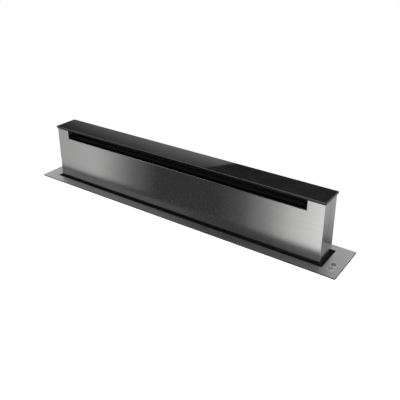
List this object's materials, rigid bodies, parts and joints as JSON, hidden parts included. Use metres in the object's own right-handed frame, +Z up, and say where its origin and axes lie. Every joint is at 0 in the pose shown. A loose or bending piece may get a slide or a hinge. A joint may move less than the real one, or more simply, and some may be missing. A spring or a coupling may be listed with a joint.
{
  "type": "downdraft vent",
  "caption": "Slim retractable worktop downdraft vent: steel column with a front intake slot and black glass lid rising from a flanged trim, with housing, lift drive and blower below.",
  "frame": {"origin": "centre of the trim's footprint, on the worktop's surface, under the gasket", "axes": "+X along the vent's length, to the right seen from the cook; -Y is the front, where the intake slot is; +Z up"},
  "size_m": [0.96, 0.3174, 0.733],
  "materials": {
    "brushed_trim": "brushed along the length",
    "brushed_column": "brushed along the length",
    "black_glass": "polished, black backed",
    "black_paint": "matt black powder coat",
    "black_plastic": "fine texture",
    "felt": "pressed felt",
    "foam": "closed-cell foam",
    "galvanised": "galvanised sheet",
    "fastener_steel": "zinc plated",
    "aluminium": "extruded",
    "belt_rubber": "moulded",
    "shaft_steel": "ground",
    "cast_zinc": "die cast",
    "motor_paint": "satin",
    "wheel_plastic": "moulded",
    "shoe_plastic": "moulded, low friction",
    "box_plastic": "moulded",
    "circuit_board": "solder mask",
    "lead_sheath": "flexible sheath",
    "button_dark": "dished, dark",
    "button_light": "dished"
  },
  "bodies": {
    "housing": {"worktop_trim": "brushed_trim", "button_bezels": "brushed_trim", "well_liner": "black_plastic", "limit_switches": "black_plastic", "button_switches": "black_plastic", "lead_clips": "black_plastic", "well_seal": "felt", "trim_gasket": "foam", "case_front": "galvanised", "case_rear": "galvanised", "case_end_left": "galvanised", "case_end_right": "galvanised", "case_floor": "galvanised", "blower_backplate": "galvanised", "blower_scroll": "galvanised", "blower_cover": "galvanised", "outlet_collar": "galvanised", "mounting_brackets": "galvanised", "idler_bracket_left": "galvanised", "idler_bracket_right": "galvanised", "trim_studs": "fastener_steel", "trim_nuts": "fastener_steel", "case_screws": "fastener_steel", "bracket_bolts": "fastener_steel", "damper_pin": "fastener_steel", "guide_rails": "aluminium", "belt_left": "belt_rubber", "belt_right": "belt_rubber", "gearbox": "cast_zinc", "shaft_bearings": "cast_zinc", "lift_motor": "motor_paint", "blower_motor": "motor_paint", "control_box": "box_plastic", "control_lid": "box_plastic", "control_board": "circuit_board", "button_lead": "lead_sheath", "blower_lead": "lead_sheath", "lift_lead": "lead_sheath"},
    "riser": {"riser_front": "brushed_column", "riser_rear": "brushed_column", "riser_end_frame_left": "galvanised", "riser_end_frame_right": "galvanised", "lift_bracket_left": "galvanised", "lift_bracket_right": "galvanised", "slide_shoes": "shoe_plastic", "belt_clamps": "shoe_plastic", "cap_tray": "black_paint", "cap_glass": "black_glass", "intake_liner": "black_paint"},
    "filter_left": {"filter_left": "black_paint"},
    "filter_right": {"filter_right": "black_paint"},
    "cross_shaft": {"cross_shaft": "shaft_steel", "drive_pulleys": "aluminium"},
    "idler_left": {"idler_pulley_left": "aluminium"},
    "idler_right": {"idler_pulley_right": "aluminium"},
    "blower_wheel": {"blower_wheel": "wheel_plastic"},
    "damper_front": {"damper_flap_front": "galvanised"},
    "damper_rear": {"damper_flap_rear": "galvanised"},
    "raise_button": {"raise_button": "button_dark"},
    "fan_button": {"fan_button": "button_light"}
  },
  "joints": [
    {"name": "riser_lift", "type": "slide", "parent": "housing", "child": "riser", "axis": [0, 0, 1], "range_m": [-0.1535, 0]},
    {"name": "filter_left_lift_out", "type": "slide", "parent": "riser", "child": "filter_left", "axis": [0, -0.8572, 0.515], "range_m": [0, 0.075]},
    {"name": "filter_right_lift_out", "type": "slide", "parent": "riser", "child": "filter_right", "axis": [0, -0.8572, 0.515], "range_m": [0, 0.075]},
    {"name": "cross_shaft_turn", "type": "hinge", "parent": "housing", "child": "cross_shaft", "pos_m": [0, 0.0015, -0.335], "axis": [1, 0, 0], "range_deg": [-1, 629.21]},
    {"name": "idler_left_turn", "type": "hinge", "parent": "housing", "child": "idler_left", "pos_m": [-0.4205, 0.0015, -0.06], "axis": [1, 0, 0], "range_deg": [-1, 629.21]},
    {"name": "idler_right_turn", "type": "hinge", "parent": "housing", "child": "idler_right", "pos_m": [0.4205, 0.0015, -0.06], "axis": [1, 0, 0], "range_deg": [-1, 629.21]},
    {"name": "blower_spin", "type": "hinge", "parent": "housing", "child": "blower_wheel", "pos_m": [0.06, -0.1285, -0.41], "axis": [0, 1, 0], "continuous": true},
    {"name": "damper_front_swing", "type": "hinge", "parent": "housing", "child": "damper_front", "pos_m": [0.268, -0.1287, -0.31382], "axis": [0, 0, 1], "range_deg": [0, 80], "stiffness_Nm_per_rad": 0.01},
    {"name": "damper_rear_swing", "type": "hinge", "parent": "housing", "child": "damper_rear", "pos_m": [0.268, -0.1287, -0.31382], "axis": [0, 0, -1], "range_deg": [0, 80], "stiffness_Nm_per_rad": 0.01},
    {"name": "raise_button_press", "type": "slide", "parent": "housing", "child": "raise_button", "axis": [0, 0, -1], "range_m": [0, 0.0015], "stiffness_N_per_m": 800},
    {"name": "fan_button_press", "type": "slide", "parent": "housing", "child": "fan_button", "axis": [0, 0, -1], "range_m": [0, 0.0015], "stiffness_N_per_m": 800}
  ],
  "couplings": [
    {"joint": "cross_shaft_turn", "follows": "riser_lift", "rad_per_m": -71.429},
    {"joint": "idler_left_turn", "follows": "riser_lift", "rad_per_m": -71.429},
    {"joint": "idler_right_turn", "follows": "riser_lift", "rad_per_m": -71.429}
  ]
}
